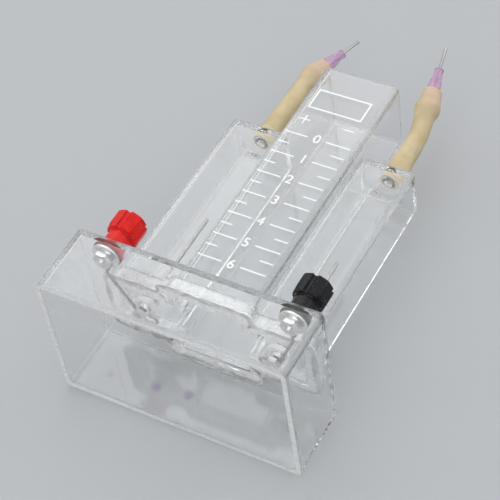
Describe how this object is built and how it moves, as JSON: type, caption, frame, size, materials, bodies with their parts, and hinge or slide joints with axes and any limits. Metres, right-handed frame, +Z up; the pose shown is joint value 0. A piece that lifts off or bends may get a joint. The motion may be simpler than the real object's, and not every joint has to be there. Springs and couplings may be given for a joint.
{
  "type": "hofmann voltameter",
  "caption": "Clear plastic electrolysis apparatus: open square reservoir between closed gas tubes on a box foot, with screw-cap binding posts and needle-tipped latex sleeves.",
  "frame": {"origin": "on the bench, under the middle of the foot", "axes": "+Z up; -Y is the front, the side with the printed scale and the binding posts; +X is to the right seen from the front"},
  "size_m": [0.105, 0.0622, 0.2056],
  "materials": {
    "clear_plastic": "clear, polished",
    "gland_plastic": "clear",
    "red_plastic": "satin",
    "black_plastic": "satin",
    "nickel": "bright nickel plate",
    "brass": "turned",
    "tinned_wire": "dull tin",
    "steel": "drawn",
    "latex": "matt, amber",
    "pink_hub": "translucent moulded"
  },
  "bodies": {
    "base": {"base_shell": "clear_plastic", "socket_tray": "clear_plastic", "reservoir": "clear_plastic", "gas_tube_left": "clear_plastic", "gas_tube_right": "clear_plastic", "post_washers": "nickel", "post_nuts": "nickel", "electrode_glands": "gland_plastic", "electrode_nuts": "nickel", "post_bush_red": "red_plastic", "post_bush_black": "black_plastic", "post_stud_red": "nickel", "post_stud_black": "nickel", "lead_tag_left": "nickel", "lead_tag_right": "nickel", "lead_left": "tinned_wire", "lead_right": "tinned_wire", "electrode_left": "steel", "electrode_right": "steel"},
    "red_insert": {"cap_insert_red": "brass"},
    "red_cap": {"knob_cap_red": "red_plastic"},
    "black_insert": {"cap_insert_black": "brass"},
    "black_cap": {"knob_cap_black": "black_plastic"},
    "left_sleeve": {"sleeve_left": "latex", "needle_hub_left": "pink_hub", "needle_left": "steel"},
    "right_sleeve": {"sleeve_right": "latex", "needle_hub_right": "pink_hub", "needle_right": "steel"}
  },
  "joints": [
    {"name": "red_cap_rise", "type": "slide", "parent": "base", "child": "red_insert", "axis": [0, 0, 1], "range_m": [0, 0.004]},
    {"name": "red_cap_turn", "type": "hinge", "parent": "red_insert", "child": "red_cap", "pos_m": [-0.0401, -0.0217, 0.0399], "axis": [0, 0, 1], "range_deg": [0, 1440]},
    {"name": "black_cap_rise", "type": "slide", "parent": "base", "child": "black_insert", "axis": [0, 0, 1], "range_m": [0, 0.004]},
    {"name": "black_cap_turn", "type": "hinge", "parent": "black_insert", "child": "black_cap", "pos_m": [0.0401, -0.0217, 0.0399], "axis": [0, 0, 1], "range_deg": [0, 1440]},
    {"name": "left_sleeve_pull_off", "type": "slide", "parent": "base", "child": "left_sleeve", "axis": [0, 0, 1], "range_m": [0, 0.015]},
    {"name": "right_sleeve_pull_off", "type": "slide", "parent": "base", "child": "right_sleeve", "axis": [0, 0, 1], "range_m": [0, 0.015]}
  ],
  "couplings": [
    {"joint": "red_cap_turn", "follows": "red_cap_rise", "rad_per_m": 6283.2},
    {"joint": "black_cap_turn", "follows": "black_cap_rise", "rad_per_m": 6283.2}
  ]
}
